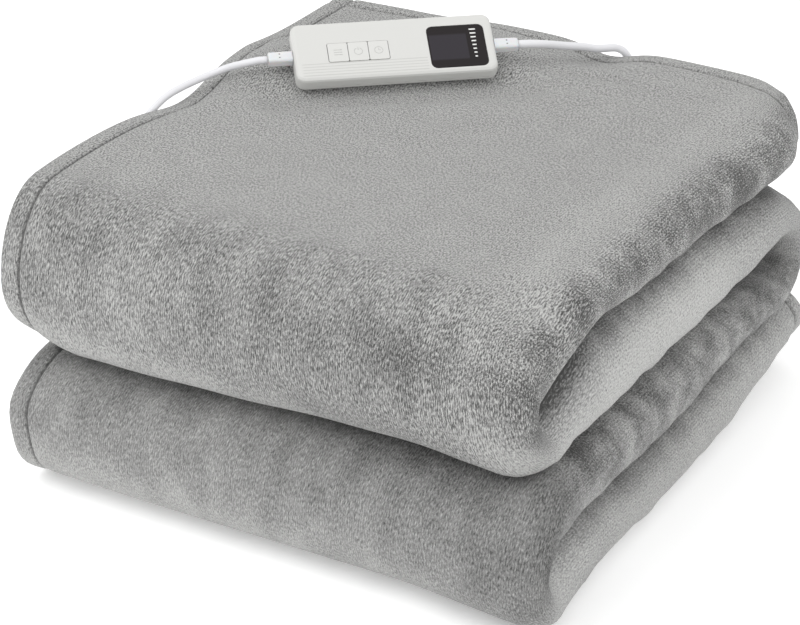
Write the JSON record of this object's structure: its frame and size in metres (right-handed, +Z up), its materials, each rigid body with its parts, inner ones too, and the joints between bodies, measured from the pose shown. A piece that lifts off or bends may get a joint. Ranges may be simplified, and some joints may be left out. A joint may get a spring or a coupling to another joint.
{
  "type": "folded electric heated blanket",
  "caption": "Plush electric blanket folded into a thick stack, with its corded control handset lying on top; it rests on its flat underside and the handset's keys press in.",
  "frame": {"origin": "middle of the stack's footprint, on the surface it rests on", "axes": "+Z up, -Y towards the rounded front folds, +X towards the long folded edge"},
  "size_m": [0.4224, 0.5629, 0.2407],
  "materials": {
    "flannel": "grey flannel with a short brushed pile",
    "handset_plastic": "off-white moulded plastic, fine matt",
    "key_plastic": "off-white moulded keys, satin",
    "display_glass": "glossy black window",
    "cord_rubber": "white flexible cord covering, satin",
    "pin_metal": "plated contact pins, smooth"
  },
  "bodies": {
    "stack": {"blanket": "flannel", "blanket_socket": "cord_rubber", "handset_front": "handset_plastic", "handset_back": "handset_plastic", "display_window": "display_glass", "relief_left": "cord_rubber", "relief_right": "cord_rubber", "blanket_lead": "cord_rubber", "lead_connector": "cord_rubber", "mains_lead": "cord_rubber", "mains_coil": "cord_rubber", "mains_tail": "cord_rubber", "plug_body": "cord_rubber", "plug_pin_a": "pin_metal", "plug_pin_b": "pin_metal"},
    "heat_key": {"button_heat": "key_plastic"},
    "power_key": {"button_power": "key_plastic"},
    "timer_key": {"button_timer": "key_plastic"}
  },
  "joints": [
    {"name": "heat_key_press", "type": "slide", "parent": "stack", "child": "heat_key", "axis": [0.3147, -0.3886, 0.866], "range_m": [-0.0008, 0], "stiffness_N_per_m": 800},
    {"name": "power_key_press", "type": "slide", "parent": "stack", "child": "power_key", "axis": [0.3147, -0.3886, 0.866], "range_m": [-0.0008, 0], "stiffness_N_per_m": 800},
    {"name": "timer_key_press", "type": "slide", "parent": "stack", "child": "timer_key", "axis": [0.3147, -0.3886, 0.866], "range_m": [-0.0008, 0], "stiffness_N_per_m": 800}
  ]
}
